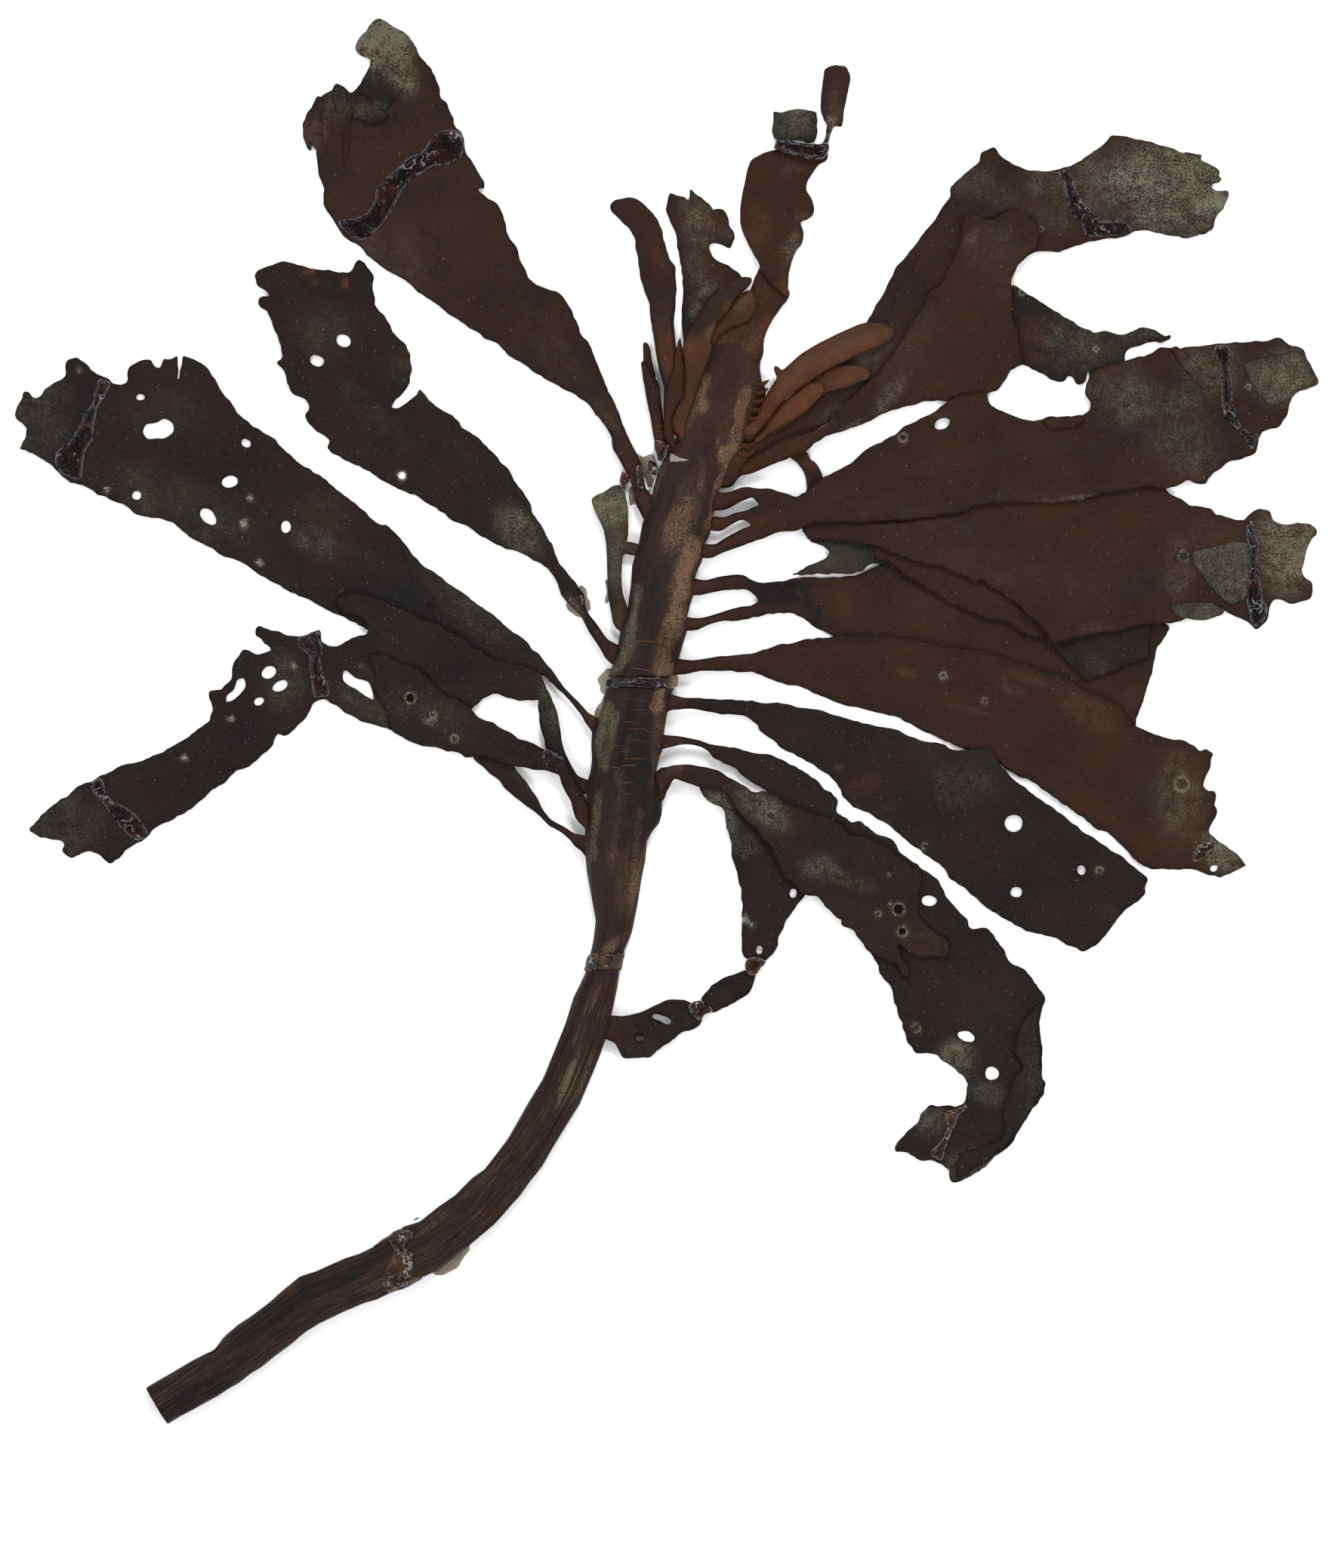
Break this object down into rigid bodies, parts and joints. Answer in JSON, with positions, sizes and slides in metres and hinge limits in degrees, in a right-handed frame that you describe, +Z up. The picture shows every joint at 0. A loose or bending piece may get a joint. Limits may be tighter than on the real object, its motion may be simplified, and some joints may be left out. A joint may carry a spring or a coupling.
{
  "type": "woody-stemmed kelp",
  "caption": "Pressed and dried woody-stemmed kelp lying flat: a curved woody stem, long leathery blades on both sides, small young blades at its crown, and straps of dried glue.",
  "frame": {"origin": "centre of the outline, on the surface that the specimen lies on", "axes": "+Z up out of the flat specimen, +Y towards the crown, +X to the right seen from above"},
  "size_m": [0.2828, 0.3044, 0.0071],
  "materials": {
    "stem": "matt, finely grooved",
    "dark_blade": "matt",
    "brown_blade": "matt to satin",
    "olive_blade": "matt",
    "young_blade": "satin",
    "dried_glue": "glossy"
  },
  "bodies": {
    "root": {"bridge_stub": "brown_blade", "crown_stub_a": "brown_blade", "crown_stub_b": "brown_blade", "glue_crown_left": "dried_glue", "glue_join_lowest": "dried_glue", "glue_join_narrow": "dried_glue", "glue_left_lower": "dried_glue", "glue_lower_right": "dried_glue", "glue_second_left": "dried_glue", "glue_strap_far_left": "dried_glue", "glue_strap_left": "dried_glue", "glue_strap_left_middle": "dried_glue", "glue_strap_lower_right": "dried_glue", "glue_strap_right": "dried_glue", "glue_strap_top": "dried_glue", "glue_strap_upper_left": "dried_glue", "glue_strap_upper_right": "dried_glue", "glue_tip_right": "dried_glue", "left_large_blade": "dark_blade", "left_long_blade": "dark_blade", "left_lower_blade": "dark_blade", "left_olive_blade": "olive_blade", "left_small_blade": "dark_blade", "lower_joined_piece": "dark_blade", "lower_right_blade": "dark_blade", "lower_right_flap": "dark_blade", "lowest_piece": "dark_blade", "narrow_lower_blade": "dark_blade", "olive_scrap": "olive_blade", "right_blade_five": "dark_blade", "right_blade_four": "brown_blade", "right_blade_one": "brown_blade", "right_blade_three": "brown_blade", "right_blade_two": "brown_blade", "right_grey_blade": "dark_blade", "right_grey_flap": "dark_blade", "right_inner_blade": "brown_blade", "second_left_blade": "dark_blade", "slender_top_blade": "brown_blade", "stem": "stem", "stem_glue_high": "dried_glue", "stem_glue_low": "dried_glue", "stem_glue_middle": "dried_glue", "terminal_blade": "brown_blade", "top_olive_piece": "olive_blade", "top_tip_piece": "dark_blade", "torn_lower_blade": "brown_blade", "torn_top_blade": "dark_blade", "twisted_top_blade": "dark_blade", "upper_left_blade": "brown_blade", "upper_right_blade": "brown_blade", "upper_right_long_blade": "brown_blade", "young_blade_left": "young_blade", "young_blade_second": "young_blade", "young_blade_third": "young_blade", "young_blade_top": "young_blade", "young_blade_under": "young_blade", "young_comb": "young_blade"}
  },
  "joints": []
}
